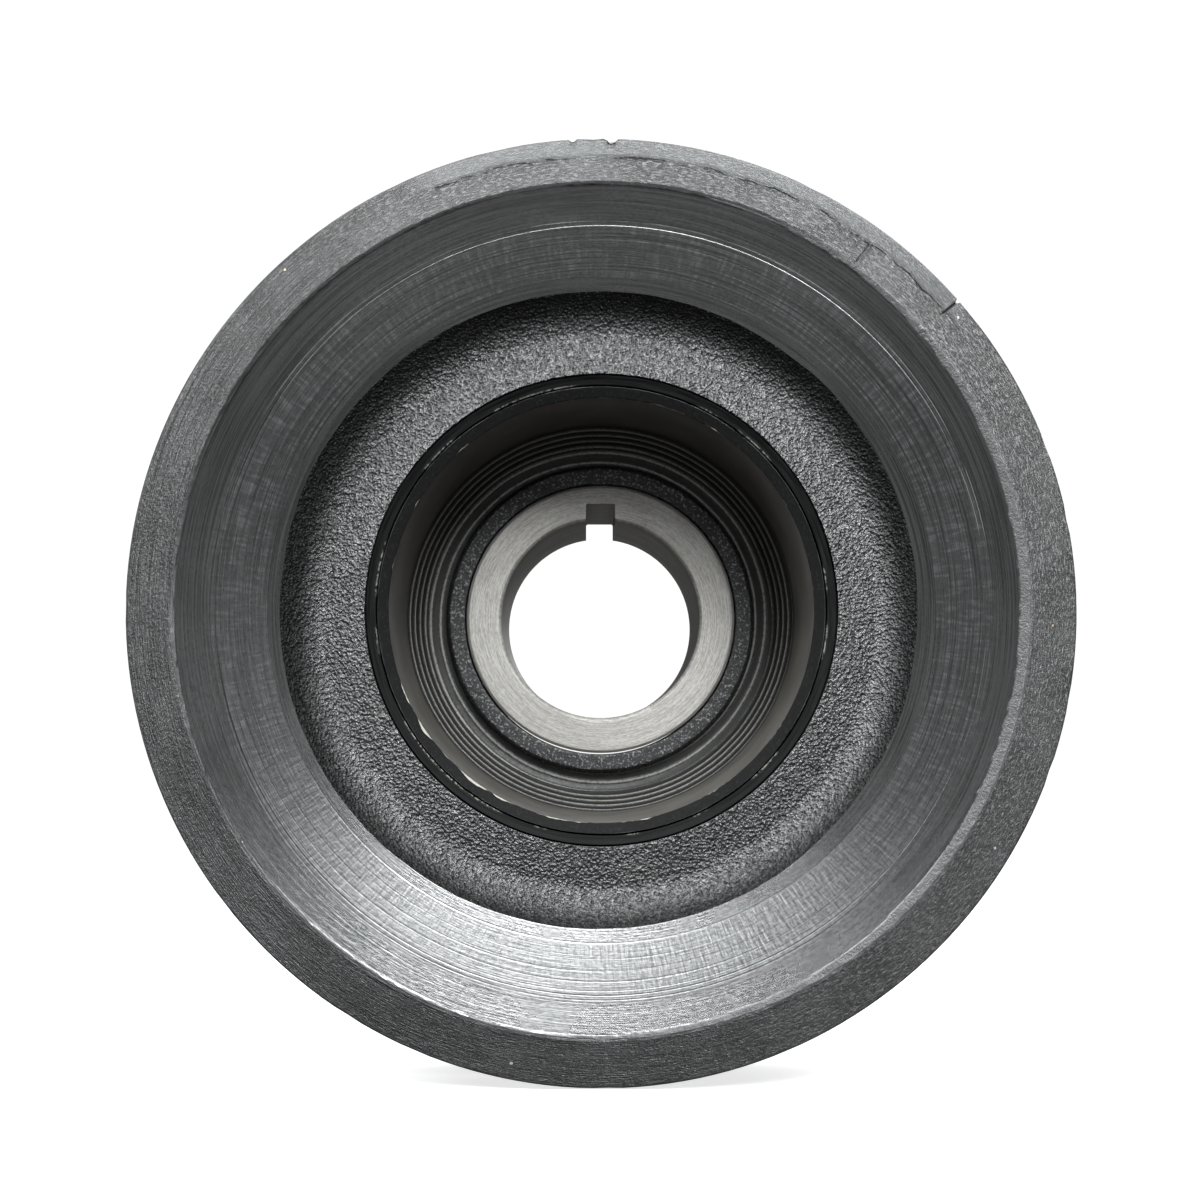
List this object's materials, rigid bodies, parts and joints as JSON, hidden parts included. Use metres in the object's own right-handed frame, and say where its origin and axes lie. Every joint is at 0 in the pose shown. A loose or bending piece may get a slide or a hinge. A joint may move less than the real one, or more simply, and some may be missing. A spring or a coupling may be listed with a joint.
{
  "type": "v belt pulley",
  "caption": "Crankshaft V-belt pulley with a rubber torsion damper: a dished cast ring with V-grooves, bonded round a deep cupped hub with a keyed bore.",
  "frame": {"origin": "on the spin axis, halfway along the keyed bore, where the crankshaft holds the part", "axes": "+Y along the spin axis from the front face to the rear, +Z towards the keyway, +X to the right seen from the front"},
  "size_m": [0.15, 0.0799, 0.15],
  "materials": {
    "ring_iron": "thin satin black paint over sand-cast and turned iron",
    "rubber": "satin, smooth moulded",
    "hub_iron": "turned, thinly coated and darkened",
    "sleeve_steel": "bare, fine turned and ground"
  },
  "bodies": {
    "hub_body": {"hub": "hub_iron", "hub_sleeve": "sleeve_steel"},
    "rubber_body": {"damper_rubber": "rubber"},
    "ring_body": {"pulley_ring": "ring_iron"}
  },
  "joints": [
    {"name": "ring_twist", "type": "hinge", "parent": "hub_body", "child": "ring_body", "pos_m": [0, 0, 0], "axis": [0, 1, 0], "range_deg": [-1, 1], "stiffness_Nm_per_rad": 6300},
    {"name": "rubber_shear", "type": "hinge", "parent": "hub_body", "child": "rubber_body", "pos_m": [0, 0, 0], "axis": [0, 1, 0], "range_deg": [-0.5, 0.5]}
  ],
  "couplings": [
    {"joint": "rubber_shear", "follows": "ring_twist", "ratio": 0.5}
  ]
}
